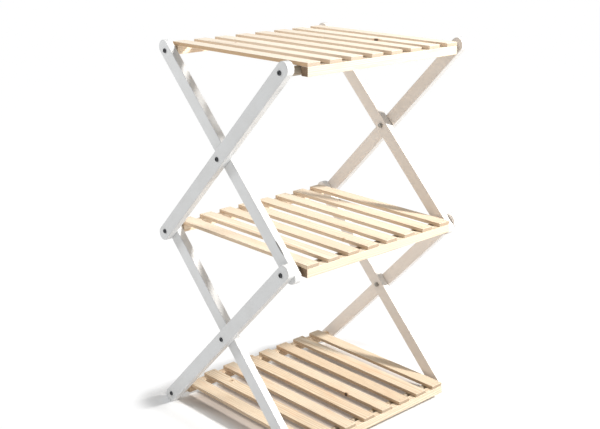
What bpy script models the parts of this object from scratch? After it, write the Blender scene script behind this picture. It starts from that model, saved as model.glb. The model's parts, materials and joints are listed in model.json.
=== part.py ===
"""Folding three-tier slatted shelf.

Two scissor side frames of white painted wooden legs carry three shelves of natural wooden slats. Each
side has two leg layers: an outer one and an inner one. X runs across the shelf, front is -Y and +Z is up.
The origin is at the middle of the footprint, on the floor. Units are metres.
"""

import math

import bmesh
import bpy
from mathutils import Matrix, Vector

# Driving dimensions of the side frames
PIVOT_DEPTH = 0.350  # between the front and the rear pivot axes, opened
LEG_SPAN = 0.503  # between a leg's end holes
LEG_WIDTH = 0.0285
LEG_THICKNESS = 0.0163
LEG_END_OFFSET = 0.0084  # from an end hole out to the centre of the rounded end
OUTER_WIDTH = 0.476  # over the outer legs
EDGE_EASE = 0.0012  # width of the eased edges of the legs

# Driving dimensions of the shelves
SLAT_COUNT = 8
SLAT_WIDTH = 0.030
SLAT_THICKNESS = 0.0070
SHELF_WIDTH = 0.396
SHELF_FRONT = 0.3765  # from the rear pivot axis to the front face of the shelf
SHELF_REAR = 0.0060  # from the rear pivot axis to the rear face of the shelf
RAIL_DEPTH = 0.0160
RAIL_HEIGHT = 0.0170  # centred on the pivot height
SLAT_EASE = 0.0008
DOWEL_RADIUS = 0.0085

# Driving dimensions of the bolts
SHANK_RADIUS = 0.00275
HEAD_RADIUS = 0.00475
HEAD_HEIGHT = 0.0025
BITE = 0.024  # how far a bolt goes into a rail or a dowel
STUB = 0.0025  # how far a crossing bolt stands out of the inner leg
SPACER_RADIUS = 0.0080

GAP = 0.0003  # between faces that touch
LEG_ARC_STEPS = 16
ROUND_STEPS = 12

# Worked out from the dimensions above
TIER_RISE = math.sqrt(LEG_SPAN**2 - PIVOT_DEPTH**2)
LEG_ANGLE = math.atan2(TIER_RISE, PIVOT_DEPTH)
LEG_RADIUS = LEG_WIDTH / 2
FRONT_REACH = SHELF_FRONT - PIVOT_DEPTH / 2
REAR_REACH = PIVOT_DEPTH / 2 + LEG_END_OFFSET * math.cos(LEG_ANGLE) + LEG_RADIUS
CROSSING_Y = (FRONT_REACH - REAR_REACH) / 2
FRONT_Y = CROSSING_Y - PIVOT_DEPTH / 2
REAR_Y = CROSSING_Y + PIVOT_DEPTH / 2
LOW_Z = LEG_END_OFFSET * math.sin(LEG_ANGLE) + LEG_RADIUS
MIDDLE_Z = LOW_Z + TIER_RISE
TOP_Z = MIDDLE_Z + TIER_RISE

OUTER_FACE = OUTER_WIDTH / 2
OUTER_BACK = OUTER_FACE - LEG_THICKNESS
INNER_FACE = OUTER_BACK - GAP
INNER_BACK = INNER_FACE - LEG_THICKNESS
RAIL_END = SHELF_WIDTH / 2
SLAT_PITCH = (SHELF_WIDTH - SLAT_WIDTH) / (SLAT_COUNT - 1)
SLAT_LENGTH = SHELF_FRONT + SHELF_REAR
HOLE_RADIUS = SHANK_RADIUS + GAP

SIDES = {"left": -1, "right": 1}


def material(name, color, roughness, metallic=0.0):
    made = bpy.data.materials.new(name)
    made.use_nodes = True
    shader = made.node_tree.nodes["Principled BSDF"]
    shader.inputs["Base Color"].default_value = (*color, 1.0)
    shader.inputs["Roughness"].default_value = roughness
    shader.inputs["Metallic"].default_value = metallic
    return made


def axis_empty(name, y, z, parent=None):
    """An empty on a joint's axis, which everything on that moving body hangs from."""
    empty = bpy.data.objects.new(name, None)
    empty.empty_display_size = 0.03
    bpy.context.scene.collection.objects.link(empty)
    place(empty, (0, y, z), parent)
    return empty


def place(obj, world, parent, turn=0.0):
    """Puts obj at a world position, turned about X, under a parent that is itself only moved."""
    origin = Vector((0, 0, 0))
    if parent is not None:
        obj.parent = parent
        origin = parent["world"]
    obj["world"] = Vector(world)
    obj.location = Vector(world) - Vector(origin)
    obj.rotation_euler = (turn, 0, 0)


def add_part(name, mesh, parent, world, look, turn=0.0):
    obj = bpy.data.objects.new(name, mesh)
    bpy.context.scene.collection.objects.link(obj)
    place(obj, world, parent, turn)
    obj.material_slots[0].link = "OBJECT"
    obj.material_slots[0].material = look
    return obj


def finish_mesh(name, bm, smooth=False):
    bmesh.ops.recalc_face_normals(bm, faces=bm.faces)
    mesh = bpy.data.meshes.new(name)
    bm.to_mesh(mesh)
    bm.free()
    mesh.materials.append(None)
    if smooth:
        mesh.shade_smooth()
        mesh.set_sharp_from_angle(angle=math.radians(35))
    return mesh


def block_mesh(name, size):
    """A box of the given size about its own centre."""
    bm = bmesh.new()
    bmesh.ops.create_cube(bm, size=1.0)
    bmesh.ops.scale(bm, vec=size, verts=bm.verts)
    return finish_mesh(name, bm)


def leg_mesh(name):
    """A flat bar along local Y with round ends, in the YZ plane, centred on its middle hole."""
    reach = LEG_SPAN / 2 + LEG_END_OFFSET
    outline = []
    for end in (1, -1):
        for step in range(LEG_ARC_STEPS + 1):
            angle = math.pi * (step / LEG_ARC_STEPS - 0.5)
            outline.append(
                (end * (reach + LEG_RADIUS * math.cos(angle)), end * LEG_RADIUS * math.sin(angle))
            )
    bm = bmesh.new()
    ring = [bm.verts.new((-LEG_THICKNESS / 2, y, z)) for y, z in outline]
    face = bm.faces.new(ring)
    extruded = bmesh.ops.extrude_face_region(bm, geom=[face])
    moved = [v for v in extruded["geom"] if isinstance(v, bmesh.types.BMVert)]
    bmesh.ops.translate(bm, vec=(LEG_THICKNESS, 0, 0), verts=moved)
    return finish_mesh(name, bm, smooth=True)


def rod_mesh(name, radius, length, steps):
    """A plain round bar along X about its own centre."""
    bm = bmesh.new()
    bmesh.ops.create_cone(
        bm, cap_ends=True, segments=steps, radius1=radius, radius2=radius, depth=length,
        matrix=Matrix.Rotation(math.pi / 2, 4, "Y"),
    )
    return finish_mesh(name, bm, smooth=True)


def bolt_mesh(name, shank):
    """A bolt along X: a low domed head outside x = 0 on the -X side, and a shank of the given length."""
    neck = HEAD_HEIGHT * 0.45
    profile = [
        (-HEAD_HEIGHT, HEAD_RADIUS * 0.62),
        (-neck, HEAD_RADIUS),
        (-GAP, HEAD_RADIUS),
        (-GAP, SHANK_RADIUS),
        (shank, SHANK_RADIUS),
    ]
    bm = bmesh.new()
    line = [bm.verts.new((x, r, 0)) for x, r in profile]
    edges = [bm.edges.new(pair) for pair in zip(line, line[1:])]
    bmesh.ops.spin(
        bm, geom=line + edges, axis=(1, 0, 0), cent=(0, 0, 0), steps=ROUND_STEPS, angle=2 * math.pi,
        use_merge=True,
    )
    bmesh.ops.remove_doubles(bm, verts=bm.verts, dist=1e-5)
    bmesh.ops.holes_fill(bm, edges=[e for e in bm.edges if e.is_boundary], sides=0)
    return finish_mesh(name, bm, smooth=True)


def cutter(name, spans):
    """A guide made of round bars along X, each (x from, x to, y, z), that Boolean modifiers cut with."""
    bm = bmesh.new()
    for x_from, x_to, y, z in spans:
        centre = Matrix.Translation(((x_from + x_to) / 2, y, z))
        bmesh.ops.create_cone(
            bm, cap_ends=True, segments=ROUND_STEPS, radius1=HOLE_RADIUS, radius2=HOLE_RADIUS,
            depth=x_to - x_from, matrix=centre @ Matrix.Rotation(math.pi / 2, 4, "Y"),
        )
    guide = bpy.data.objects.new(name, finish_mesh(name, bm))
    bpy.context.scene.collection.objects.link(guide)
    guide.hide_render = True
    guide.display_type = "WIRE"
    return guide


def ease_edges(obj, width):
    bevel = obj.modifiers.new("eased_edges", "BEVEL")
    bevel.width = width
    bevel.segments = 1
    bevel.limit_method = "ANGLE"
    bevel.angle_limit = math.radians(40)


def cut_with(obj, guide):
    """Cuts with a copy of the guide that moves with obj, so that repeated parts share one shape."""
    own = guide.copy()
    bpy.context.scene.collection.objects.link(own)
    own.hide_render = True
    own.name = obj.name + "_holes"
    own.parent = obj
    boolean = obj.modifiers.new("holes", "BOOLEAN")
    boolean.operation = "DIFFERENCE"
    boolean.solver = "EXACT"
    boolean.object = own


def add_bolt(name, meshes, side, parent, head_face, tip, y, z, look):
    """A bolt whose head sits on the outside of head_face and whose tip is at tip, both distances from X = 0."""
    shank = round(head_face - tip, 5)
    if shank not in meshes:
        meshes[shank] = bolt_mesh(f"bolt_{len(meshes) + 1}", shank)
    bolt = add_part(name, meshes[shank], parent, (side * head_face, y, z), look)
    if side > 0:
        bolt.rotation_euler = (0, 0, math.pi)
    return bolt


def build_shelf(tier, z, pins, wood):
    """Eight slats on a front and a rear rail, hung on an empty at the rear pivot axis."""
    shelf = axis_empty(f"{tier}_shelf", REAR_Y, z, pins)
    front_face = REAR_Y - SHELF_FRONT
    rear_face = REAR_Y + SHELF_REAR

    front_rail = add_part(
        f"{tier}_front_rail", MESHES["rail"], shelf, (0, front_face + RAIL_DEPTH / 2, z), wood
    )
    rear_rail = add_part(
        f"{tier}_rear_rail", MESHES["rear_rail"], shelf, (0, rear_face - RAIL_DEPTH / 2, z), wood
    )
    ease_edges(front_rail, SLAT_EASE)
    ease_edges(rear_rail, SLAT_EASE)
    cut_with(rear_rail, GUIDES["rail"])

    slat_z = z + RAIL_HEIGHT / 2 + GAP + SLAT_THICKNESS / 2
    for index in range(SLAT_COUNT):
        x = -RAIL_END + SLAT_WIDTH / 2 + index * SLAT_PITCH
        slat = add_part(
            f"{tier}_slat_{index + 1}", MESHES["slat"], shelf, (x, (front_face + rear_face) / 2, slat_z), wood
        )
        ease_edges(slat, SLAT_EASE)


def build_leg_pair(tier, layer, parent, turn, paint):
    """The left and right legs of one layer; turn is the leg's angle from level, rising to the rear."""
    centre_z = (LOW_Z + MIDDLE_Z) / 2 if tier == "lower" else (MIDDLE_Z + TOP_Z) / 2
    face = OUTER_FACE if layer == "outer" else INNER_FACE
    for side_name, side in SIDES.items():
        x = side * (face - LEG_THICKNESS / 2)
        leg = add_part(
            f"{tier}_{layer}_leg_{side_name}", MESHES["leg"], parent, (x, CROSSING_Y, centre_z), paint, turn
        )
        ease_edges(leg, EDGE_EASE)
        cut_with(leg, GUIDES["leg"])


def build_dowel(tier, parent, z, reach, wood):
    """The round bar under the front of a shelf, between leg faces at reach either side."""
    kind = "wide" if reach > INNER_BACK else "narrow"
    dowel = add_part(f"{tier}_dowel", MESHES[f"{kind}_dowel"], parent, (0, FRONT_Y, z), wood)
    cut_with(dowel, GUIDES[f"{kind}_dowel"])


def end_holes(end, y):
    """Blind holes in both ends of a piece that spans from -end to end."""
    overrun = 0.004
    depth = BITE + 2 * GAP
    return [(-end - overrun, -end + depth, y, 0), (end - depth, end + overrun, y, 0)]


for old in list(bpy.data.objects):
    bpy.data.objects.remove(old)

pine = material("natural_pine", (0.80, 0.58, 0.36), 0.62)
white_paint = material("white_paint", (0.84, 0.84, 0.82), 0.42)
black_steel = material("black_steel", (0.022, 0.022, 0.024), 0.38, 0.6)

NARROW_END = INNER_BACK - GAP
WIDE_END = OUTER_BACK - GAP
RAIL_AXIS_Y = RAIL_DEPTH / 2 - SHELF_REAR

MESHES = {
    "leg": leg_mesh("leg"),
    "slat": block_mesh("slat", (SLAT_WIDTH, SLAT_LENGTH, SLAT_THICKNESS)),
    "rail": block_mesh("rail", (SHELF_WIDTH, RAIL_DEPTH, RAIL_HEIGHT)),
    "rear_rail": block_mesh("rear_rail", (SHELF_WIDTH, RAIL_DEPTH, RAIL_HEIGHT)),
    "narrow_dowel": rod_mesh("narrow_dowel", DOWEL_RADIUS, 2 * NARROW_END, 2 * ROUND_STEPS),
    "wide_dowel": rod_mesh("wide_dowel", DOWEL_RADIUS, 2 * WIDE_END, 2 * ROUND_STEPS),
    "spacer": rod_mesh("spacer", SPACER_RADIUS, OUTER_BACK - RAIL_END - 2 * GAP, 2 * ROUND_STEPS),
}
leg_hole_places = (-LEG_SPAN / 2, 0.0, LEG_SPAN / 2)
GUIDES = {
    "leg": cutter("leg_guide", [(-LEG_THICKNESS, LEG_THICKNESS, y, 0) for y in leg_hole_places]),
    "rail": cutter("rail_guide", end_holes(RAIL_END, RAIL_AXIS_Y)),
    "narrow_dowel": cutter("narrow_dowel_guide", end_holes(NARROW_END, 0)),
    "wide_dowel": cutter("wide_dowel_guide", end_holes(WIDE_END, 0)),
    "spacer": cutter("spacer_guide", [(-LEG_THICKNESS * 2, LEG_THICKNESS * 2, 0, 0)]),
}

# The moving bodies, each on the axis that it turns about
foot_bar = axis_empty("foot_bar", FRONT_Y, LOW_Z)
lower_inner = axis_empty("lower_inner_legs", FRONT_Y, LOW_Z, foot_bar)
lower_outer = axis_empty("lower_outer_legs", CROSSING_Y, (LOW_Z + MIDDLE_Z) / 2, lower_inner)
upper_outer = axis_empty("upper_outer_legs", REAR_Y, MIDDLE_Z, lower_inner)
upper_inner = axis_empty("upper_inner_legs", CROSSING_Y, (MIDDLE_Z + TOP_Z) / 2, upper_outer)
bottom_pins = axis_empty("bottom_pins", REAR_Y, LOW_Z, lower_outer)
middle_pins = axis_empty("middle_pins", REAR_Y, MIDDLE_Z, lower_inner)
top_pins = axis_empty("top_pins", REAR_Y, TOP_Z, upper_inner)

build_leg_pair("lower", "inner", lower_inner, LEG_ANGLE, white_paint)
build_leg_pair("lower", "outer", lower_outer, -LEG_ANGLE, white_paint)
build_leg_pair("upper", "outer", upper_outer, -LEG_ANGLE, white_paint)
build_leg_pair("upper", "inner", upper_inner, LEG_ANGLE, white_paint)

build_dowel("bottom", foot_bar, LOW_Z, NARROW_END, pine)
build_dowel("middle", upper_inner, MIDDLE_Z, NARROW_END, pine)
build_dowel("top", upper_outer, TOP_Z, WIDE_END, pine)

build_shelf("bottom", LOW_Z, bottom_pins, pine)
build_shelf("middle", MIDDLE_Z, middle_pins, pine)
build_shelf("top", TOP_Z, top_pins, pine)

# Bolts: name, body, leg face under the head, tip, y, z
CROSSING_TIP = INNER_BACK - STUB
BOLTS = [
    ("bottom_front_bolt", foot_bar, INNER_FACE, NARROW_END - BITE, FRONT_Y, LOW_Z),
    ("bottom_rear_bolt", bottom_pins, OUTER_FACE, RAIL_END - BITE, REAR_Y, LOW_Z),
    ("lower_crossing_bolt", lower_inner, OUTER_FACE, CROSSING_TIP, CROSSING_Y, (LOW_Z + MIDDLE_Z) / 2),
    ("middle_front_bolt", upper_inner, OUTER_FACE, NARROW_END - BITE, FRONT_Y, MIDDLE_Z),
    ("middle_rear_bolt", middle_pins, OUTER_FACE, RAIL_END - BITE, REAR_Y, MIDDLE_Z),
    ("upper_crossing_bolt", upper_outer, OUTER_FACE, CROSSING_TIP, CROSSING_Y, (MIDDLE_Z + TOP_Z) / 2),
    ("top_front_bolt", upper_outer, OUTER_FACE, WIDE_END - BITE, FRONT_Y, TOP_Z),
    ("top_rear_bolt", top_pins, INNER_FACE, RAIL_END - BITE, REAR_Y, TOP_Z),
]
bolt_meshes = {}
for bolt_name, body, head_face, tip, bolt_y, bolt_z in BOLTS:
    for side_name, side in SIDES.items():
        add_bolt(
            f"{bolt_name}_{side_name}", bolt_meshes, side, body, head_face, tip, bolt_y, bolt_z, black_steel
        )

# The bottom shelf hangs between the outer legs, so a spacer fills the inner layer's place on each side
spacer_x = (OUTER_BACK + RAIL_END) / 2
for side_name, side in SIDES.items():
    spacer = add_part(
        f"bottom_spacer_{side_name}", MESHES["spacer"], bottom_pins, (side * spacer_x, REAR_Y, LOW_Z), pine
    )
    cut_with(spacer, GUIDES["spacer"])

for guide in GUIDES.values():
    bpy.data.objects.remove(guide)
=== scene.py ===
"""The looks of a folding three-tier slatted shelf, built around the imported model.

Every board, bar and leg is replaced by a finer piece of the same size with rounded edges, grain and knots.
The bolts, nuts, spacers and brads are modelled as what they are. Units are metres, +Z up, front -Y.
"""

import json
import math
import random

import bmesh
import bpy
from mathutils import Matrix, Vector


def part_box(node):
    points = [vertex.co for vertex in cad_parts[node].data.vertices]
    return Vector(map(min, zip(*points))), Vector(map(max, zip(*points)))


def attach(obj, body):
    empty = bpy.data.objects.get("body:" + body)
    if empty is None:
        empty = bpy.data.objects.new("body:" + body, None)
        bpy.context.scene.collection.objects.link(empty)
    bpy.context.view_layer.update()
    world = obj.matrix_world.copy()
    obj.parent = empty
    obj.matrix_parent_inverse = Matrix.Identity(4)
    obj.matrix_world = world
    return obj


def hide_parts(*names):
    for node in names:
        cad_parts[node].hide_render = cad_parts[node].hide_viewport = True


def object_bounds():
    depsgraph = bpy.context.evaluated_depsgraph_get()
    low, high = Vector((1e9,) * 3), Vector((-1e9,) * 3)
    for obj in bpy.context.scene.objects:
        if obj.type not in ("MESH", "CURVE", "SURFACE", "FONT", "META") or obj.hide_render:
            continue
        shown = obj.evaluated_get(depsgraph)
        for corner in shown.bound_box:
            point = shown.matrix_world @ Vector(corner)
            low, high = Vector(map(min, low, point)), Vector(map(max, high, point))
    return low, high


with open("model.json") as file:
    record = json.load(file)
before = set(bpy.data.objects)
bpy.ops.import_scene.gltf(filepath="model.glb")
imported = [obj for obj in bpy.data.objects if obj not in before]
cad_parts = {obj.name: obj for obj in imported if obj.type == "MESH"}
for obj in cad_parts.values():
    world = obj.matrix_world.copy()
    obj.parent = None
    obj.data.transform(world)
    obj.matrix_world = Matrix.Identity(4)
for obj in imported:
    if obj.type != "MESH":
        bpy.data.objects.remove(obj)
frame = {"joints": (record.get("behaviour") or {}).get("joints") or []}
cad_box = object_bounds()

# Sizes that the nodes' boxes don't say
LEG_WIDTH = 0.0285
LEG_END_OFFSET = 0.0084  # from an end hole out to the centre of the rounded end
LEG_ARRIS = 0.0016
BOARD_ARRIS = 0.0010
DOWEL_CHAMFER = 0.0010
HOLE_RADIUS = 0.0030
BLIND_DEPTH = 0.026
CUTTER_OVERSHOOT = 0.002  # how far a blind hole's cutter stands out of the bar's end
SEAT = 0.00025  # how far a slat reaches down so that it sits on its rails
FACE_GAP = 0.0001
SLAT_SHIFT = 0.0007  # how far a slat may be nailed out of its place
SLAT_TURN = math.radians(0.20)

# Bolts
CAD_HEAD_HEIGHT = 0.0025
CAD_STUB = 0.0025  # how far a crossing bolt's node stands out of the inner leg
HEAD_RADIUS = 0.0046
HEAD_HEIGHT = 0.0025
HEAD_RIM = 0.30 * HEAD_HEIGHT  # the straight part below the dome
HEAD_EDGE = 0.0001
SOCKET_HALF_WIDTH = 0.0020
SOCKET_DEPTH = 0.0013
SOCKET_CHAMFER = 0.0002
SOCKET_LIP = 0.0008  # the flat ring round the socket
SHANK_RADIUS = 0.0027
PLAIN_SHANK = 0.004  # the least plain length below a head
THREAD_LENGTH = 0.020
THREAD_PITCH = 0.0011
THREAD_DEPTH = 0.0004
TIP_LENGTH = 0.0008  # the plain length past the thread
TIP_CHAMFER = 0.0006
TIP_PROUD = 0.0004  # how far a crossing bolt stands out of its nut
BRIGHT_TIP = 0.0016  # how much of a crossing bolt's end has no black finish

# Nuts
NUT_HALF_WIDTH = 0.0048
NUT_HEIGHT = 0.0044
NUT_BODY_HEIGHT = 0.74 * NUT_HEIGHT
NUT_CORNER = 1.10 * NUT_HALF_WIDTH  # where the hexagon's corners are cut off
NUT_BASE_CORNER = 0.95 * NUT_CORNER
NUT_TOP_CORNER = 0.93 * NUT_CORNER
NUT_BASE_CHAMFER = 0.0003
NUT_TOP_CHAMFER = 0.0004
NUT_CLEARANCE = 0.00005
COLLAR_RADIUS = 0.80 * NUT_HALF_WIDTH
COLLAR_CHAMFER_DROP = 0.0005
COLLAR_CHAMFER_INSET = 0.0006

# Spacers and brads
SPACER_RADIUS = 0.0080
SMALL_SPACER_RADIUS = 0.0062
SPACER_CHAMFER = 0.0007
BRAD_RADIUS = 0.0009
BRAD_TOP_RADIUS = 0.86 * BRAD_RADIUS
BRAD_DEPTH = 0.0006
BRAD_SINK = 0.35 * BRAD_DEPTH  # from the slat's face down to the middle of the brad
BRAD_INSET = 0.0075  # from a slat's long edge
BRAD_SHIFT_ACROSS = 0.0008
BRAD_SHIFT_ALONG = 0.0015

# How finely round shapes are cut, and how their shading tells edges from faces
ARC_STEPS = 28
ARRIS_STEPS = 4
BOARD_ARRIS_STEPS = 3
ROUND_STEPS = 48
DOME_STEPS = 5
HOLE_STEPS = 24
BRAD_STEPS = 12
SHARP_DEGREES = 40
BOLT_SHARP_DEGREES = 50
NUT_SHARP_DEGREES = 30
FLAT_FACE_WEIGHT = 80

SIDES = {"left": -1, "right": 1}
TIERS = ("bottom", "middle", "top")
SLAT_NUMBERS = range(1, 9)
DOWEL_BODY = {"bottom": "foot_bar", "middle": "upper_inner_legs", "top": "upper_outer_legs"}
BOLT_BODY = {
    "bottom_front": "foot_bar",
    "bottom_rear": "bottom_pins",
    "lower_crossing": "lower_inner_legs",
    "middle_front": "upper_inner_legs",
    "middle_rear": "middle_pins",
    "upper_crossing": "upper_outer_legs",
    "top_front": "upper_outer_legs",
    "top_rear": "top_pins",
}

# A board's place in its log: the pith's distance beside and below it, and how far along the trunk it may lie
RNG = random.Random(41)
PITH_BESIDE = (0.020, 0.075)
PITH_BELOW = (0.012, 0.060)
TRUNK_REACH = 3.0

# Knots: x and y from the middle of the slat, and the knot's radius
NO_KNOT = (0.0, 9.0, 0.0003)
KNOTS = {
    ("top", 7): (-0.0150, -0.0540, 0.0044),
    ("top", 2): (0.0080, 0.0900, 0.0016),
    ("middle", 7): (0.0100, 0.0680, 0.0018),
    ("middle", 4): (-0.0130, -0.1250, 0.0015),
    ("bottom", 5): (-0.0145, -0.0880, 0.0030),
    ("bottom", 2): (0.0060, 0.1200, 0.0020),
}

# The wood's tone and painted light: a factor for its colour, how far a painted highlight pales it, and how
# dark its sawn edges and ends are, partly as painted shade
# Painted light and shade: the slats are lighter on the higher tiers and darker on the bottom one
SLAT_PAINTED_LIGHT = {"bottom": 0.88, "middle": 0.97, "top": 1.03}
# Painted highlight: the slats of the higher tiers are paled towards near white
SLAT_PAINTED_HIGHLIGHT = {"bottom": 0.0, "middle": 0.18, "top": 0.45}
# The slats' side faces are darkened, partly for sawn wood and partly as painted shade
EDGE_DARKNESS = 0.50
# Painted shade: the first top slat's outer side is darker still
PAINTED_SHADE_EDGES = {("top", 1): 0.90}
END_DARKNESS = 0.66
# Painted shade: the front rails are darkened all over, toning down the strong light on their fronts
RAIL_PAINTED_SHADE = {("bottom", "front"): 0.84, ("middle", "front"): 0.88, ("top", "front"): 0.80}
# Painted highlight: the rails of the higher tiers are paled too
RAIL_PAINTED_HIGHLIGHT = {"bottom": 0.0, "middle": 0.18, "top": 0.18}
# The front rails' ends are fully darkened as painted shade beside the legs; the rear rails' only as end
# grain
RAIL_END_GRAIN_AND_SHADE = {"front": 1.0, "rear": 0.45}
# Painted shade: the cross bars, in shade behind the front rails, are darkened
DOWEL_PAINTED_SHADE = 0.45
DOWEL_END_DARKNESS = 0.6

# The paint's painted light where a leg's differs: a factor for its colour as painted light and shade, and
# how much painted warm bounce it takes
NO_PAINTED_LIGHT = (1.0, 0.0)
LEG_PAINTED_LIGHT = {
    "lower_outer_leg_left": (0.975, 0.0),
    "upper_outer_leg_left": (0.95, 0.0),
    "lower_inner_leg_right": (1.12, 0.8),
    "lower_outer_leg_right": (1.17, 0.9),
    "upper_inner_leg_right": (0.99, 1.0),
    "upper_outer_leg_right": (0.98, 1.0),
}

# A dark line on one leg's outer arris
ARRIS_MARKED_LEG = "upper_inner_leg_left"
ARRIS_MARK_OFFSET = 0.045  # from the leg's lower pivot
ARRIS_MARK_INSET = 0.4 * LEG_ARRIS
NO_ARRIS_MARK = (0.0, 9.0, 0.0)

# The floor glows more away from the rack, so that it is white there and still takes shadows beside the feet
FLOOR_HALF_SIZE = 60.0
GLOW_NEAR = 0.09
GLOW_FAR = 0.96
GLOW_REACH = 0.10  # how far from the rack the floor reaches its full glow
PAINTED_SHADOW_REACH = (0.01, 0.05)  # how far inside the rack's outline the shaded paper begins and is full

# Softboxes aimed at the middle of the rack: place, power in watts, size in metres and colour
RACK_MIDDLE = (0.0, 0.0, 0.38)
SOFTBOXES = {
    "key_softbox": ((1.13, -1.75, 1.80), 100.0, 0.31, (1.0, 0.985, 0.965)),
    "fill_softbox": ((-1.30, 1.30, 1.80), 18.0, 0.80, (0.955, 0.98, 1.0)),
}
WORLD_TINT = (0.97, 0.985, 1.0, 1.0)
WORLD_STRENGTH = 0.36

# The camera looks down by its drop, and its turn is from +Y; both are degrees
CAMERA_PLACE = (-1.37144, -1.44667, 1.01690)
CAMERA_DROP = 17.011
CAMERA_TURN = -42.796
LENS = 61.34
SENSOR_WIDTH = 36.0
VIEW_DEPTH = 200.0

# The joints' pivots
pivot = {joint["name"]: Vector(joint["pos_m"]) for joint in frame["joints"]}
FRONT_Y = pivot["fold"].y
REAR_Y = pivot["bottom_shelf_level"].y
TIER_Z = {tier: pivot[f"{tier}_shelf_level"].z for tier in TIERS}

# Each leg pair's lower and upper pivots, as (y, z)
LEGS = (
    ("lower", "inner", (FRONT_Y, TIER_Z["bottom"]), (REAR_Y, TIER_Z["middle"])),
    ("lower", "outer", (REAR_Y, TIER_Z["bottom"]), (FRONT_Y, TIER_Z["middle"])),
    ("upper", "outer", (REAR_Y, TIER_Z["middle"]), (FRONT_Y, TIER_Z["top"])),
    ("upper", "inner", (FRONT_Y, TIER_Z["middle"]), (REAR_Y, TIER_Z["top"])),
)


# ---------------------------------------------------------------- node helpers


class Nodes:
    """A short way to write a material's node tree."""

    def __init__(self, name):
        self.material = bpy.data.materials.new(name)
        self.material.use_nodes = True
        self.tree = self.material.node_tree
        self.shader = self.tree.nodes["Principled BSDF"]

    def add(self, kind, settings=None, **inputs):
        node = self.tree.nodes.new(kind)
        for key, value in (settings or {}).items():
            setattr(node, key, value)
        for key, value in inputs.items():
            self.feed(node.inputs[key.replace("_", " ")], value)
        return node

    def feed(self, socket, value):
        if isinstance(value, bpy.types.NodeSocket):
            self.tree.links.new(value, socket)
        else:
            socket.default_value = value

    def math(self, operation, a, b=0.0):
        node = self.add("ShaderNodeMath", {"operation": operation})
        self.feed(node.inputs[0], a)
        self.feed(node.inputs[1], b)
        return node.outputs[0]

    def vector(self, operation, a, b=(0.0, 0.0, 0.0)):
        node = self.add("ShaderNodeVectorMath", {"operation": operation})
        self.feed(node.inputs[0], a)
        self.feed(node.inputs[1], b)
        return node.outputs["Value" if operation == "LENGTH" else "Vector"]

    def ramp(self, value, low, high, to_low=0.0, to_high=1.0):
        """A smooth step from to_low at low to to_high at high."""
        node = self.add("ShaderNodeMapRange", {"interpolation_type": "SMOOTHSTEP"}, Value=value)
        node.inputs["From Min"].default_value = low
        node.inputs["From Max"].default_value = high
        node.inputs["To Min"].default_value = to_low
        node.inputs["To Max"].default_value = to_high
        return node.outputs["Result"]

    def mix(self, factor, a, b, blend="MIX"):
        node = self.add("ShaderNodeMix", {"data_type": "RGBA", "blend_type": blend})
        self.feed(node.inputs["Factor"], factor)
        self.feed(node.inputs["A"], a)
        self.feed(node.inputs["B"], b)
        return node.outputs["Result"]

    def scaled(self, base, factor):
        """The colour base times a number."""
        return self.mix(1.0, base, self.join(factor, factor, factor), "MULTIPLY")

    def noise(self, at, scale, detail=3.0, roughness=0.55):
        node = self.add(
            "ShaderNodeTexNoise", Vector=at, Scale=scale, Detail=detail, Roughness=roughness
        )
        return node.outputs["Fac"]

    def streaks(self, at, squash, scale, detail=3.0, roughness=0.55):
        """Noise drawn out along local Y, the grain's direction, to 1 / squash of its width."""
        return self.noise(self.vector("MULTIPLY", at, (1.0, squash, 1.0)), scale, detail, roughness)

    def attribute(self, name, output="Vector"):
        return self.add("ShaderNodeAttribute", {"attribute_name": name}).outputs[output]

    def split(self, vector):
        node = self.add("ShaderNodeSeparateXYZ", Vector=vector)
        return node.outputs["X"], node.outputs["Y"], node.outputs["Z"]

    def join(self, x, y, z):
        return self.add("ShaderNodeCombineXYZ", X=x, Y=y, Z=z).outputs["Vector"]

    def bump(self, height, strength, distance):
        node = self.add("ShaderNodeBump", Height=height, Strength=strength, Distance=distance)
        return node.outputs["Normal"]

    def finish(self, **inputs):
        for key, value in inputs.items():
            self.feed(self.shader.inputs[key.replace("_", " ")], value)
        return self.material


def colour(red, green, blue):
    return (red, green, blue, 1.0)


# ------------------------------------------------------------------- materials

# Pine, from a pale board to a deep one, and its features
PALE_PINE = (colour(0.880, 0.762, 0.600), colour(0.820, 0.668, 0.490))
DARK_PINE = (colour(0.680, 0.495, 0.305), colour(0.600, 0.400, 0.230))
TAWNY_BLOTCH = colour(0.790, 0.470, 0.270)
RESIN_FLECK = colour(0.46, 0.27, 0.14)
# The near white of the painted highlight
HIGHLIGHT_PINE = colour(0.94, 0.90, 0.82)
# The colour of sawn edges, darkened further as painted shade
SAWN_AND_SHADED_EDGE = colour(0.520, 0.330, 0.170)
# End grain colours, dark enough to stand also for painted shade
SAWN_AND_SHADED_END = (colour(0.34, 0.235, 0.145), colour(0.165, 0.100, 0.055))
KNOT_CORE = (colour(0.050, 0.024, 0.012), colour(0.120, 0.060, 0.030))
KNOT_HALO = colour(0.60, 0.34, 0.16)
RING_SPACING = 0.0031
PITH_SLANT = 0.022  # the pith's slope across the board
SMALLEST_KNOT = 0.0002

# Paint, fresh and worn
WHITE_PAINT = (colour(0.735, 0.738, 0.735), colour(0.705, 0.703, 0.694))
PAINTED_GRAIN = colour(0.58, 0.56, 0.53)
THIN_PAINT = colour(0.67, 0.61, 0.53)
WORN_PAINT = colour(0.58, 0.47, 0.35)
# The paint's colour in painted warm bounce light from the wood
BOUNCE_TINTED_PAINT = colour(0.745, 0.650, 0.560)
ARRIS_MARK_COLOUR = colour(0.16, 0.15, 0.14)
ARRIS_MARK_SCALE = (420.0, 52.0, 420.0)  # one over the dark line's half sizes

# Metal finishes, plain and rubbed
BLACK_STEEL = (colour(0.048, 0.050, 0.054), colour(0.150, 0.153, 0.160))
ZINC = (colour(0.34, 0.325, 0.30), colour(0.56, 0.545, 0.52))

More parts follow.
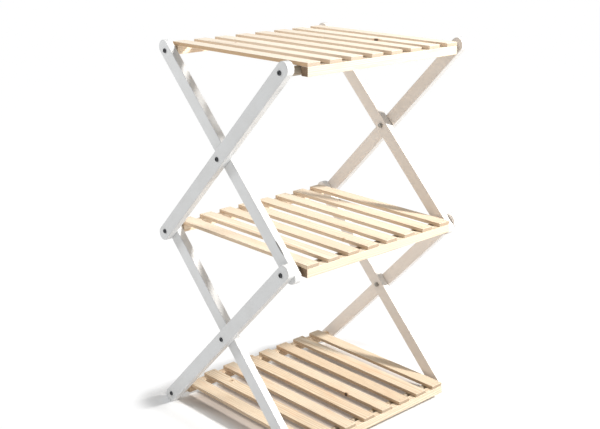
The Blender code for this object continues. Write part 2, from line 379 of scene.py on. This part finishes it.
# The floor's paper: beside the rack, under it darkened as painted shadow, and far off
NEAR_PAPER = (colour(0.735, 0.735, 0.735), colour(0.750, 0.748, 0.745))
UNDER_RACK_PAINTED_SHADOW = colour(0.44, 0.38, 0.33)
FAR_PAPER = colour(0.06, 0.06, 0.06)


def knot_nearness(n, x, y):
    """The distance from the board's knot, in knot radii; a knot is a little longer than wide."""
    knot_x, knot_y, knot_size = n.split(n.attribute("knot"))
    across = n.math("SUBTRACT", x, knot_x)
    along = n.math("MULTIPLY", n.math("SUBTRACT", y, knot_y), 0.78)
    distance = n.vector("LENGTH", n.join(across, along, 0.0))
    return n.math("DIVIDE", distance, n.math("MAXIMUM", knot_size, SMALLEST_KNOT))


def growth_rings(n, place, knot_distance):
    """How far it is latewood, in rings round a pith beside the board, which bend round the knot."""
    wander = n.noise(n.vector("MULTIPLY", place, (9.0, 2.2, 9.0)), 1.0, 2.0)
    x, y, z = n.split(place)
    slant = n.math("MULTIPLY", y, PITH_SLANT)
    ring_x = n.math("ADD", n.math("ADD", x, slant), n.math("MULTIPLY", wander, 0.014))
    ring_z = n.math("ADD", z, n.math("MULTIPLY", wander, 0.008))
    knot_pull = n.math("EXPONENT", n.math("MULTIPLY", knot_distance, -0.55))
    radius = n.vector("LENGTH", n.join(ring_x, 0.0, ring_z))
    radius = n.math("ADD", radius, n.math("MULTIPLY", knot_pull, 0.010))
    spread = n.noise(n.join(radius, 0.0, 0.0), 70.0, 1.0)
    rings = n.math("ADD", n.math("DIVIDE", radius, RING_SPACING), n.math("MULTIPLY", spread, 2.4))
    year = n.math("FRACT", rings)
    return n.math("MULTIPLY", n.ramp(year, 0.30, 0.90), n.ramp(year, 0.93, 1.0, 1.0, 0.0))


def pine_material():
    """Sawn pine: curved growth rings seen along and across the board, fine fibres, knots and end grain.

    The grain runs along local Y. Each mesh carries its own cut through the log, its tone and its knot.
    """
    n = Nodes("natural_pine")
    coordinates = n.add("ShaderNodeTexCoord")
    local = coordinates.outputs["Object"]
    x, y, _ = n.split(local)
    place = n.vector("ADD", local, n.attribute("cut"))
    knot_distance = knot_nearness(n, x, y)
    latewood = growth_rings(n, place, knot_distance)

    # Fibres, streaks, blotches and flecks along the grain
    fibres = n.streaks(place, 0.022, 1500.0, 4.0, 0.62)
    streaks = n.streaks(place, 0.05, 240.0, 3.0, 0.6)
    blotches = n.streaks(place, 0.25, 34.0, 2.0)
    flecks = n.ramp(n.streaks(place, 0.06, 620.0, 1.0), 0.74, 0.80)

    tone = n.attribute("tone", "Fac")
    dark = n.mix(tone, *DARK_PINE)
    wood = n.mix(n.math("MULTIPLY", latewood, 0.75), n.mix(tone, *PALE_PINE), dark)
    wood = n.mix(n.ramp(streaks, 0.50, 0.72, 0.0, 0.42), wood, dark)
    wood = n.mix(n.ramp(blotches, 0.56, 0.74, 0.0, 0.34), wood, TAWNY_BLOTCH)
    wood = n.scaled(wood, n.ramp(fibres, 0.36, 0.64, 0.93, 1.05))
    wood = n.mix(n.math("MULTIPLY", flecks, 0.35), wood, RESIN_FLECK)

    # The higher tiers' boards are paled by a painted highlight, and the sawn edges are darker than the
    # planed faces, partly as painted shade
    wood = n.mix(n.attribute("painted_highlight", "Fac"), wood, HIGHLIGHT_PINE)
    facing_edge, facing_end, _ = n.split(coordinates.outputs["Normal"])
    edge = n.ramp(n.math("ABSOLUTE", facing_edge), 0.75, 0.95)
    wood = n.mix(n.math("MULTIPLY", edge, n.attribute("sawn_edge_and_shade", "Fac")), wood, SAWN_AND_SHADED_EDGE)

    # The knot: a dark core with its own rings, in a tawny halo
    halo = n.ramp(knot_distance, 1.0, 2.6, 1.0, 0.0)
    core = n.ramp(knot_distance, 0.72, 1.05, 1.0, 0.0)
    core_rings = n.math("FRACT", n.math("MULTIPLY", knot_distance, 3.5))
    wood = n.mix(n.math("MULTIPLY", halo, 0.55), wood, KNOT_HALO)
    wood = n.mix(n.math("MULTIPLY", core, 0.92), wood, n.mix(core_rings, *KNOT_CORE))

    # The sawn ends are darker, with open pores; on the front rails the ends are darkest, as painted shade
    # beside the legs
    end_grain = n.ramp(n.math("ABSOLUTE", facing_end), 0.75, 0.95)
    pores = n.ramp(n.noise(local, 2600.0, 2.0), 0.40, 0.62)
    end_shade = n.math("MULTIPLY", end_grain, n.attribute("end_grain_and_shade", "Fac"))
    wood = n.mix(end_shade, wood, n.mix(pores, *SAWN_AND_SHADED_END))
    # Painted light and shade: the shade factor makes whole pieces lighter or darker by where they stand
    wood = n.scaled(wood, n.attribute("shade", "Fac"))

    roughness = n.math("ADD", n.ramp(fibres, 0.3, 0.7, 0.50, 0.66), n.math("MULTIPLY", end_grain, 0.15))
    height = n.math("SUBTRACT", n.math("MULTIPLY", fibres, 0.6), n.math("MULTIPLY", latewood, 0.5))
    height = n.math("SUBTRACT", height, n.math("MULTIPLY", core, 0.8))
    normal = n.bump(height, 0.30, 0.00025)
    return n.finish(Base_Color=wood, Roughness=roughness, Normal=normal, IOR=1.45)


def leg_arrises(n, x, y, z, half_length, half_width, half_thickness):
    """1 on a leg's softened arrises and 0 elsewhere: they lie near to a side and to an edge at once."""
    side_depth = n.math("SUBTRACT", half_thickness, n.math("ABSOLUTE", x))
    beyond = n.math("MAXIMUM", n.math("SUBTRACT", n.math("ABSOLUTE", y), half_length), 0.0)
    edge_depth = n.math("SUBTRACT", half_width, n.vector("LENGTH", n.join(0.0, beyond, z)))
    return n.ramp(n.math("MAXIMUM", side_depth, edge_depth), 0.0002, 0.0012, 1.0, 0.0)


def paint_material():
    """White satin paint on wood: a trace of grain and brush marks, and arrises worn thin here and there."""
    n = Nodes("white_paint")
    local = n.attribute("place")
    half_size = n.split(n.attribute("half_size"))
    x, y, z = n.split(local)
    shifted = n.vector("ADD", local, n.attribute("cut"))
    arris = leg_arrises(n, x, y, z, *half_size)

    grain = n.streaks(shifted, 0.03, 900.0, 3.0, 0.6)
    brushing = n.streaks(shifted, 0.09, 260.0, 2.0)
    chips = n.streaks(shifted, 0.35, 120.0, 4.0, 0.7)
    clouds = n.noise(shifted, 22.0, 2.0)
    worn = n.math("MULTIPLY", arris, n.ramp(chips, 0.66, 0.74))
    thin = n.math("MULTIPLY", arris, n.ramp(clouds, 0.45, 0.75, 0.03, 0.14))

    white = n.mix(n.ramp(clouds, 0.3, 0.7), *WHITE_PAINT)
    white = n.mix(n.ramp(grain, 0.45, 0.75, 0.0, 0.10), white, PAINTED_GRAIN)
    white = n.mix(thin, white, THIN_PAINT)
    white = n.mix(n.math("MULTIPLY", worn, 0.45), white, WORN_PAINT)

    # Painted warm bounce light from the wood: where the mesh says so, the paint is warmer, most of all on
    # the leg's -X face
    inner_face = n.ramp(n.math("ADD", x, half_size[2]), 0.0005, 0.0015, 0.62, 0.22)
    painted_bounce = n.math("MULTIPLY", n.attribute("painted_bounce", "Fac"), inner_face)
    white = n.mix(painted_bounce, white, BOUNCE_TINTED_PAINT)
    # Painted light and shade: the shade factor lightens or darkens each leg's paint
    white = n.scaled(white, n.attribute("shade", "Fac"))

    # One dark line on an arris, where the mesh says
    arris_mark_offset = n.vector("SUBTRACT", local, n.attribute("arris_mark"))
    arris_mark_distance = n.vector("LENGTH", n.vector("MULTIPLY", arris_mark_offset, ARRIS_MARK_SCALE))
    arris_mark = n.ramp(n.math("ADD", arris_mark_distance, n.math("MULTIPLY", grain, 0.5)), 0.85, 1.25, 1.0, 0.0)
    white = n.mix(n.math("MULTIPLY", arris_mark, 0.85), white, ARRIS_MARK_COLOUR)

    roughness = n.ramp(brushing, 0.3, 0.7, 0.34, 0.47)
    roughness = n.math("ADD", roughness, n.math("MULTIPLY", worn, 0.25))
    height = n.math("ADD", n.math("MULTIPLY", grain, 0.4), n.math("MULTIPLY", brushing, 0.8))
    height = n.math("SUBTRACT", height, n.math("MULTIPLY", worn, 0.7))
    normal = n.bump(height, 0.06, 0.0003)
    return n.finish(Base_Color=white, Roughness=roughness, Normal=normal, IOR=1.48)


def metal_material(name, plain, rubbed, roughness, metallic):
    """Fastener metal: a thin finish with fine speckle, rubbed bright where the noise says."""
    n = Nodes(name)
    local = n.add("ShaderNodeTexCoord").outputs["Object"]
    speckle = n.noise(local, 1400.0, 3.0, 0.6)
    rubbing = n.ramp(n.noise(local, 420.0, 3.0, 0.65), 0.58, 0.72, 0.0, 0.5)
    finish = n.mix(n.ramp(speckle, 0.35, 0.65, 0.0, 0.35), plain, rubbed)
    finish = n.mix(rubbing, finish, rubbed)
    rough = n.ramp(speckle, 0.3, 0.7, roughness - 0.07, roughness + 0.09)
    normal = n.bump(speckle, 0.15, 0.0001)
    return n.finish(Base_Color=finish, Roughness=rough, Metallic=metallic, Normal=normal)


def floor_material():
    """White paper that reflects beside the rack, and further off glows like a light table: painted light
    that whitens the floor and fades its shadows.
    """
    n = Nodes("studio_floor")
    local = n.add("ShaderNodeTexCoord").outputs["Object"]
    x, y, _ = n.split(local)
    outside_x = n.math("SUBTRACT", n.math("ABSOLUTE", x), cad_box[1].x)
    outside_y = n.math("SUBTRACT", n.math("ABSOLUTE", y), cad_box[1].y)
    beyond = n.join(n.math("MAXIMUM", outside_x, 0.0), n.math("MAXIMUM", outside_y, 0.0), 0.0)
    far = n.ramp(n.vector("LENGTH", beyond), 0.0, GLOW_REACH)
    glow = n.ramp(far, 0.0, 1.0, GLOW_NEAR, GLOW_FAR)
    inside = n.math("MULTIPLY", n.math("MAXIMUM", outside_x, outside_y), -1.0)
    paper = n.mix(n.noise(local, 3.0, 2.0), *NEAR_PAPER)
    # Painted shadow: the paper is darker inside the rack's outline
    paper = n.mix(n.ramp(inside, *PAINTED_SHADOW_REACH), paper, UNDER_RACK_PAINTED_SHADOW)
    paper = n.mix(far, paper, FAR_PAPER)
    return n.finish(
        Base_Color=paper, Roughness=0.75, Specular_IOR_Level=0.2,
        Emission_Color=colour(1.0, 1.0, 1.0), Emission_Strength=glow,
    )


# ----------------------------------------------------------------- mesh helpers


def new_object(name, data):
    obj = bpy.data.objects.new(name, data)
    bpy.context.scene.collection.objects.link(obj)
    return obj


def mesh_object(name, bm):
    """An object of bm's faces, turned outwards; bm itself is freed."""
    bmesh.ops.recalc_face_normals(bm, faces=bm.faces)
    mesh = bpy.data.meshes.new(name)
    bm.to_mesh(mesh)
    bm.free()
    return new_object(name, mesh)


def solid(name, bm, *materials, cutter=None, sharp_degrees=SHARP_DEGREES):
    """Turns bm, less the cutter's shape, into an object with smooth shading and even flat faces."""
    obj = mesh_object(name, bm)
    if cutter is not None:
        subtract(obj, cutter)
    mesh = obj.data
    mesh.materials.clear()
    for material in materials:
        mesh.materials.append(material)
    mesh.shade_smooth()
    mesh.set_sharp_from_angle(angle=math.radians(sharp_degrees))
    weighted = obj.modifiers.new("flat_faces", "WEIGHTED_NORMAL")
    weighted.keep_sharp = True
    weighted.weight = FLAT_FACE_WEIGHT
    return obj


def subtract(obj, bm):
    """Cuts bm's shape out of obj's mesh; both are in the same space."""
    tool = mesh_object("cutter", bm)
    cut = obj.modifiers.new("holes", "BOOLEAN")
    cut.operation = "DIFFERENCE"
    cut.solver = "EXACT"
    cut.object = tool
    bpy.context.view_layer.update()
    depsgraph = bpy.context.evaluated_depsgraph_get()
    result = bpy.data.meshes.new_from_object(obj.evaluated_get(depsgraph))
    obj.modifiers.remove(cut)
    obj.data = result
    bpy.data.objects.remove(tool)


def rods(places, depth, axis):
    """Bars of the holes' radius along local X or Y, each centred on one of the places, to cut with."""
    turn = Matrix.Rotation(math.pi / 2, 4, "Y" if axis == "X" else "X")
    bm = bmesh.new()
    for place in places:
        bmesh.ops.create_cone(
            bm, cap_ends=True, segments=HOLE_STEPS, radius1=HOLE_RADIUS, radius2=HOLE_RADIUS,
            depth=depth, matrix=Matrix.Translation(place) @ turn,
        )
    return bm


def end_holes(half_length, x=0.0):
    """Cutters for the blind holes that take the bolts' tips in both ends of a bar along local Y."""
    reach = half_length - BLIND_DEPTH / 2 + CUTTER_OVERSHOOT / 2
    return rods([(x, -reach, 0), (x, reach, 0)], BLIND_DEPTH + CUTTER_OVERSHOOT, "Y")


def mark(obj, name, value):
    """Gives every point of obj the same number or vector, for its material to read."""
    points = len(obj.data.vertices)
    if hasattr(value, "__len__"):
        attribute = obj.data.attributes.new(name, "FLOAT_VECTOR", "POINT")
        attribute.data.foreach_set("vector", list(value) * points)
    else:
        attribute = obj.data.attributes.new(name, "FLOAT", "POINT")
        attribute.data.foreach_set("value", [value] * points)


def remember_places(obj):
    """Keeps each point's place in obj's own axes for its material, before the mesh is turned."""
    places = [number for vertex in obj.data.vertices for number in vertex.co]
    attribute = obj.data.attributes.new("place", "FLOAT_VECTOR", "POINT")
    attribute.data.foreach_set("vector", places)


def rounded_board(size):
    """A box with rounded arrises."""
    bm = bmesh.new()
    bmesh.ops.create_cube(bm, size=1.0)
    bmesh.ops.scale(bm, vec=size, verts=bm.verts)
    bmesh.ops.bevel(
        bm, geom=bm.edges[:], offset=BOARD_ARRIS, segments=BOARD_ARRIS_STEPS, profile=0.5,
        affect="EDGES",
    )
    return bm


def bridge(bm, rings, closed=False):
    """Faces between rings of points that run the same way; a ring of one point closes an end."""
    pairs = list(zip(rings, rings[1:]))
    if closed:
        pairs.append((rings[-1], rings[0]))
    for ring, following in pairs:
        for i in range(max(len(ring), len(following))):
            corners = [ring[i % len(ring)], ring[(i + 1) % len(ring)]]
            corners += [following[(i + 1) % len(following)], following[i % len(following)]]
            bm.faces.new(list(dict.fromkeys(corners)))


def turned(profile, closed=False):
    """A solid round local Y from (y, radius) points. A radius is a number, 0 at a closed end, or a
    function of the angle, and closed joins the last ring to the first."""
    bm = bmesh.new()
    rings = []
    for y, radius in profile:
        if radius == 0:
            rings.append([bm.verts.new((0, y, 0))])
            continue
        ring = []
        for step in range(ROUND_STEPS):
            angle = 2 * math.pi * step / ROUND_STEPS
            reach = radius(angle) if callable(radius) else radius
            ring.append(bm.verts.new((reach * math.cos(angle), y, reach * math.sin(angle))))
        rings.append(ring)
    bridge(bm, rings, closed)
    return bm


def chamfered(half_length, radius, chamfer, end_radius=0):
    """The profile of a round bar with chamfered ends, for turned."""
    rim = radius - chamfer
    return [
        (-half_length, end_radius),
        (-half_length, rim),
        (-half_length + chamfer, radius),
        (half_length - chamfer, radius),
        (half_length, rim),
        (half_length, end_radius),
    ]


def hexagon(half_width, cap=math.inf):
    """A radius function for a hexagon of that half width over its flats, rounded off at cap."""
    sector = math.radians(60)

    def reach(angle):
        return min(half_width / math.cos((angle % sector) - sector / 2), cap)

    return reach


def leg_bar(half_length, thickness):
    """A flat bar along local Y with round ends about +-half_length, and softened arrises."""
    turns = [math.pi / 2 * step / ARRIS_STEPS for step in range(ARRIS_STEPS + 1)]
    near = [(thickness / 2 - LEG_ARRIS * (1 - math.sin(t)), LEG_ARRIS * (1 - math.cos(t))) for t in turns]
    layers = [(-x, inset) for x, inset in reversed(near)] + near
    bm = bmesh.new()
    rings = []
    for x, inset in layers:
        radius = LEG_WIDTH / 2 - inset
        ring = []
        for end in (1, -1):
            for step in range(ARC_STEPS + 1):
                angle = math.pi * (step / ARC_STEPS - 0.5)
                y = end * (half_length + radius * math.cos(angle))
                ring.append(bm.verts.new((x, y, end * radius * math.sin(angle))))
        rings.append(ring)
    bridge(bm, rings)
    bm.faces.new(rings[0])
    bm.faces.new(rings[-1])
    return bm


# ----------------------------------------------------------------------- pieces


def settle(obj, body, slot, *nodes):
    """Hangs a finished, placed piece on the body it moves with and hides the nodes it stands for; its slot,
    what it is made of, is not used.
    """
    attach(obj, body)
    if nodes:
        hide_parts(*nodes)


def point_along_x(obj, centre, side=1):
    """Puts obj at centre with its local +Y along world X, towards the side given."""
    obj.rotation_euler = (0, 0, -side * math.pi / 2)
    obj.location = centre


def random_cut():
    """A board's place in the log: beside the pith, anywhere along the trunk."""
    side = RNG.choice((-1, 1))
    beside = side * RNG.uniform(*PITH_BESIDE)
    along = RNG.uniform(-TRUNK_REACH, TRUNK_REACH)
    return (beside, along, RNG.uniform(*PITH_BELOW))


def mark_wood(obj, knot=NO_KNOT, shade=1.0, painted_highlight=0.0, end_grain_and_shade=END_DARKNESS, sawn_edge_and_shade=0.0):
    """Gives a wooden piece its own cut and tone at random, and the rest as told."""
    mark(obj, "cut", random_cut())
    mark(obj, "tone", RNG.random())
    mark(obj, "shade", shade)
    mark(obj, "painted_highlight", painted_highlight)
    mark(obj, "end_grain_and_shade", end_grain_and_shade)
    mark(obj, "sawn_edge_and_shade", sawn_edge_and_shade)
    mark(obj, "knot", knot)


def build_slat(tier, number, wood):
    node = f"{tier}_slat_{number}"
    low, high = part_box(node)
    size = high - low + Vector((0, 0, SEAT))
    slat = solid(f"{tier}_shelf_slat_{number}", rounded_board(size), wood)
    slat.location = (low + high) / 2 - Vector((0, 0, SEAT / 2))
    slat.location.x += RNG.uniform(-1, 1) * SLAT_SHIFT
    slat.rotation_euler.z = RNG.uniform(-1, 1) * SLAT_TURN
    mark_wood(
        slat, KNOTS.get((tier, number), NO_KNOT), SLAT_PAINTED_LIGHT[tier], SLAT_PAINTED_HIGHLIGHT[tier],
        sawn_edge_and_shade=PAINTED_SHADE_EDGES.get((tier, number), EDGE_DARKNESS),
    )
    settle(slat, f"{tier}_shelf", "natural_pine", node)


def build_rail(tier, place, wood):
    """A rail under the slats; the rear ones are bored for the bolts they turn on."""
    node = f"{tier}_{place}_rail"
    low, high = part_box(node)
    size = high - low
    centre = (low + high) / 2
    holes = end_holes(size.x / 2, centre.y - REAR_Y) if place == "rear" else None
    board = rounded_board((size.y, size.x, size.z))
    rail = solid(f"{tier}_shelf_{place}_rail", board, wood, cutter=holes)
    point_along_x(rail, centre)
    mark_wood(
        rail, shade=RAIL_PAINTED_SHADE.get((tier, place), 1.0), painted_highlight=RAIL_PAINTED_HIGHLIGHT[tier],
        end_grain_and_shade=RAIL_END_GRAIN_AND_SHADE[place],
    )
    settle(rail, f"{tier}_shelf", "natural_pine", node)


def build_brads(tier, steel):
    """Two small brads where each slat crosses each rail, their heads just proud of the slat."""
    bm = bmesh.new()
    for place in ("front", "rear"):
        rail_low, rail_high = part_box(f"{tier}_{place}_rail")
        rail_y = (rail_low.y + rail_high.y) / 2
        for number in SLAT_NUMBERS:
            low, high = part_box(f"{tier}_slat_{number}")
            for nominal_x in (low.x + BRAD_INSET, high.x - BRAD_INSET):
                x = nominal_x + RNG.uniform(-1, 1) * BRAD_SHIFT_ACROSS
                y = rail_y + RNG.uniform(-1, 1) * BRAD_SHIFT_ALONG
                bmesh.ops.create_cone(
                    bm, cap_ends=True, segments=BRAD_STEPS, radius1=BRAD_RADIUS,
                    radius2=BRAD_TOP_RADIUS, depth=BRAD_DEPTH,
                    matrix=Matrix.Translation((x, y, high.z - BRAD_SINK)),
                )
    brads = solid(f"{tier}_shelf_brads", bm, steel)
    settle(brads, f"{tier}_shelf", "black_steel")


def build_dowel(tier, wood):
    """The bar across the rack behind a front rail, bored at both ends for the bolts."""
    node = f"{tier}_dowel"
    low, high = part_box(node)
    half_length = (high.x - low.x) / 2
    profile = chamfered(half_length, (high.z - low.z) / 2, DOWEL_CHAMFER)
    dowel = solid(f"{tier}_cross_bar", turned(profile), wood, cutter=end_holes(half_length))
    point_along_x(dowel, (low + high) / 2)
    # The cross bar's darker wood is painted shade
    mark_wood(dowel, shade=DOWEL_PAINTED_SHADE, end_grain_and_shade=DOWEL_END_DARKNESS)
    settle(dowel, DOWEL_BODY[tier], "natural_pine", node)


def build_leg(node, body, start, end, paint):
    """A leg from the pivot at start up to the one at end, both (y, z)."""
    low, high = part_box(node)
    thickness = high.x - low.x
    rise = end - start
    span = rise.length
    half_length = span / 2 + LEG_END_OFFSET
    holes = rods([(0, y, 0) for y in (-span / 2, 0, span / 2)], 2 * thickness, "X")
    leg = solid(node + "_bar", leg_bar(half_length, thickness), paint, cutter=holes)
    remember_places(leg)
    leg.data.transform(Matrix.Rotation(math.atan2(rise.y, rise.x), 4, "X"))
    leg.location = (low + high) / 2
    # Painted light and shade on this leg's paint, and its painted warm bounce
    tone, painted_bounce = LEG_PAINTED_LIGHT.get(node, NO_PAINTED_LIGHT)
    arris_mark_at = (ARRIS_MARK_INSET - thickness / 2, ARRIS_MARK_OFFSET - span / 2, LEG_WIDTH / 2 - ARRIS_MARK_INSET)
    mark(leg, "cut", random_cut())
    mark(leg, "half_size", (half_length, LEG_WIDTH / 2, thickness / 2))
    mark(leg, "shade", tone)
    mark(leg, "painted_bounce", painted_bounce)
    mark(leg, "arris_mark", arris_mark_at if node == ARRIS_MARKED_LEG else NO_ARRIS_MARK)
    settle(leg, body, "white_paint", node)


def bolt_profile(shank):
    """From the hexagon socket's floor over the domed head and down the threaded shank to its tip."""
    socket = hexagon(SOCKET_HALF_WIDTH)
    mouth = hexagon(SOCKET_HALF_WIDTH + SOCKET_CHAMFER)
    crown = SOCKET_HALF_WIDTH + SOCKET_LIP
    profile = [(-HEAD_HEIGHT + SOCKET_DEPTH, 0), (-HEAD_HEIGHT + SOCKET_DEPTH, socket)]
    profile += [(-HEAD_HEIGHT + SOCKET_CHAMFER, socket), (-HEAD_HEIGHT, mouth)]
    for step in range(DOME_STEPS + 1):
        turn = math.pi / 2 * step / DOME_STEPS
        y = -HEAD_RIM - (HEAD_HEIGHT - HEAD_RIM) * math.cos(turn)
        profile.append((y, crown + (HEAD_RADIUS - crown) * math.sin(turn)))
    profile += [(-FACE_GAP, HEAD_RADIUS - HEAD_EDGE), (-FACE_GAP, SHANK_RADIUS)]
    thread_start = max(shank - THREAD_LENGTH, PLAIN_SHANK)
    for turn in range(int((shank - TIP_LENGTH - thread_start) / THREAD_PITCH)):
        y = thread_start + turn * THREAD_PITCH
        profile += [(y, SHANK_RADIUS), (y + THREAD_PITCH / 2, SHANK_RADIUS - THREAD_DEPTH)]
    profile += [(shank - TIP_CHAMFER, SHANK_RADIUS), (shank, SHANK_RADIUS - TIP_CHAMFER), (shank, 0)]
    return profile


def build_bolt(node, body, side, steel, bright):
    """A domed bolt with a hexagon socket. The crossing bolts go on through their nuts."""
    low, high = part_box(node)
    crossing = "crossing" in node
    centre = (low + high) / 2
    outside = max(abs(low.x), abs(high.x)) - CAD_HEAD_HEIGHT
    inside = min(abs(low.x), abs(high.x))
    shank = outside - inside + (NUT_HEIGHT + TIP_PROUD - CAD_STUB if crossing else 0.0)
    profile = bolt_profile(shank)
    bolt = solid(node + "_screw", turned(profile), steel, bright, sharp_degrees=BOLT_SHARP_DEGREES)
    if crossing:
        for face in bolt.data.polygons:
            if face.center.y > shank - BRIGHT_TIP:
                face.material_index = 1
    point_along_x(bolt, Vector((side * outside, centre.y, centre.z)), -side)
    settle(bolt, body, "black_steel", node)


def build_nut(name, body, side, leg_node, at, steel):
    """A lock nut with a round collar, on the inner face of an inner leg at the crossing's pivot."""
    low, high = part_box(leg_node)
    face = min(abs(low.x), abs(high.x)) - FACE_GAP
    bore = SHANK_RADIUS + NUT_CLEARANCE
    profile = [
        (0.0, bore),
        (0.0, hexagon(NUT_HALF_WIDTH, NUT_BASE_CORNER)),
        (NUT_BASE_CHAMFER, hexagon(NUT_HALF_WIDTH, NUT_CORNER)),
        (NUT_BODY_HEIGHT - NUT_TOP_CHAMFER, hexagon(NUT_HALF_WIDTH, NUT_CORNER)),
        (NUT_BODY_HEIGHT, hexagon(NUT_HALF_WIDTH, NUT_TOP_CORNER)),
        (NUT_BODY_HEIGHT, COLLAR_RADIUS),
        (NUT_HEIGHT - COLLAR_CHAMFER_DROP, COLLAR_RADIUS),
        (NUT_HEIGHT, COLLAR_RADIUS - COLLAR_CHAMFER_INSET),
        (NUT_HEIGHT, bore),
    ]
    nut = solid(name, turned(profile, closed=True), steel, sharp_degrees=NUT_SHARP_DEGREES)
    point_along_x(nut, Vector((side * face, at.y, at.z)), -side)
    nut.rotation_euler.rotate_axis("Y", RNG.uniform(0, math.pi / 3))
    settle(nut, body, "black_steel")


def build_spacer(name, body, side, span, radius, tier, wood, *nodes):
    """A bush on a tier's rear bolt; span is its two ends' distances from the middle of the rack."""
    inner, outer = span
    half_length = (outer - inner) / 2 - FACE_GAP
    profile = chamfered(half_length, radius, SPACER_CHAMFER, HOLE_RADIUS)
    spacer = solid(name, turned(profile, closed=True), wood)
    point_along_x(spacer, Vector((side * (inner + outer) / 2, REAR_Y, TIER_Z[tier])), side)
    mark_wood(spacer)
    settle(spacer, body, "natural_pine", *nodes)


def build_rack():
    """Every piece of the rack, tier by tier and then kind by kind."""
    wood = pine_material()
    paint = paint_material()
    black = metal_material("black_steel", *BLACK_STEEL, roughness=0.38, metallic=0.65)
    bright = metal_material("zinc_plated_steel", *ZINC, roughness=0.36, metallic=1.0)

    for tier in TIERS:
        for number in SLAT_NUMBERS:
            build_slat(tier, number, wood)
        for place in ("front", "rear"):
            build_rail(tier, place, wood)
        build_brads(tier, bright)
        build_dowel(tier, wood)

    for tier, layer, start, end in LEGS:
        for side_name in SIDES:
            node = f"{tier}_{layer}_leg_{side_name}"
            build_leg(node, f"{tier}_{layer}_legs", Vector(start), Vector(end), paint)

    for kind, body in BOLT_BODY.items():
        for side_name, side in SIDES.items():
            build_bolt(f"{kind}_bolt_{side_name}", body, side, black, bright)

    for tier in ("lower", "upper"):
        for side_name, side in SIDES.items():
            name = f"{tier}_crossing_nut_{side_name}"
            leg_node = f"{tier}_inner_leg_{side_name}"
            build_nut(name, f"{tier}_inner_legs", side, leg_node, pivot[f"{tier}_scissor"], bright)

    rail_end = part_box("bottom_rear_rail")[1].x
    wide_span = (rail_end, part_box("lower_outer_leg_right")[0].x)
    narrow_span = (rail_end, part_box("lower_inner_leg_right")[0].x)
    for side_name, side in SIDES.items():
        build_spacer(
            f"bottom_shelf_spacer_{side_name}", "bottom_pins", side, wide_span, SPACER_RADIUS,
            "bottom", wood, f"bottom_spacer_{side_name}",
        )
        for tier in ("middle", "top"):
            name = f"{tier}_shelf_spacer_{side_name}"
            build_spacer(name, f"{tier}_pins", side, narrow_span, SMALL_SPACER_RADIUS, tier, wood)


# ------------------------------------------------------------------------ stage


def build_stage():
    """The floor, the light all round and the plain view transform."""
    bm = bmesh.new()
    bmesh.ops.create_grid(bm, x_segments=1, y_segments=1, size=FLOOR_HALF_SIZE)
    mesh = bpy.data.meshes.new("studio_floor")
    bm.to_mesh(mesh)
    bm.free()
    mesh.materials.append(floor_material())
    floor = new_object("studio_floor", mesh)

    world = bpy.data.worlds.new("studio")
    world.use_nodes = True
    background = world.node_tree.nodes["Background"]
    background.inputs["Color"].default_value = WORLD_TINT
    background.inputs["Strength"].default_value = WORLD_STRENGTH
    bpy.context.scene.world = world
    bpy.context.scene.view_settings.view_transform = "Standard"


def add_softbox(name, place, power, size, tint):
    """A round lamp at place that faces the middle of the rack."""
    light = bpy.data.lights.new(name, "AREA")
    light.shape = "DISK"
    light.energy = power
    light.size = size
    light.color = tint
    lamp = new_object(name, light)
    lamp.location = place
    lamp.rotation_euler = (Vector(place) - Vector(RACK_MIDDLE)).to_track_quat("Z", "Y").to_euler()


def add_camera():
    camera = new_object("camera", bpy.data.cameras.new("camera"))
    camera.data.lens = LENS
    camera.data.sensor_width = SENSOR_WIDTH
    camera.data.clip_end = VIEW_DEPTH
    camera.location = CAMERA_PLACE
    camera.rotation_euler = (math.radians(90 - CAMERA_DROP), 0.0, math.radians(CAMERA_TURN))
    bpy.context.scene.camera = camera


build_rack()
build_stage()
for lamp_name, settings in SOFTBOXES.items():
    add_softbox(lamp_name, *settings)
add_camera()
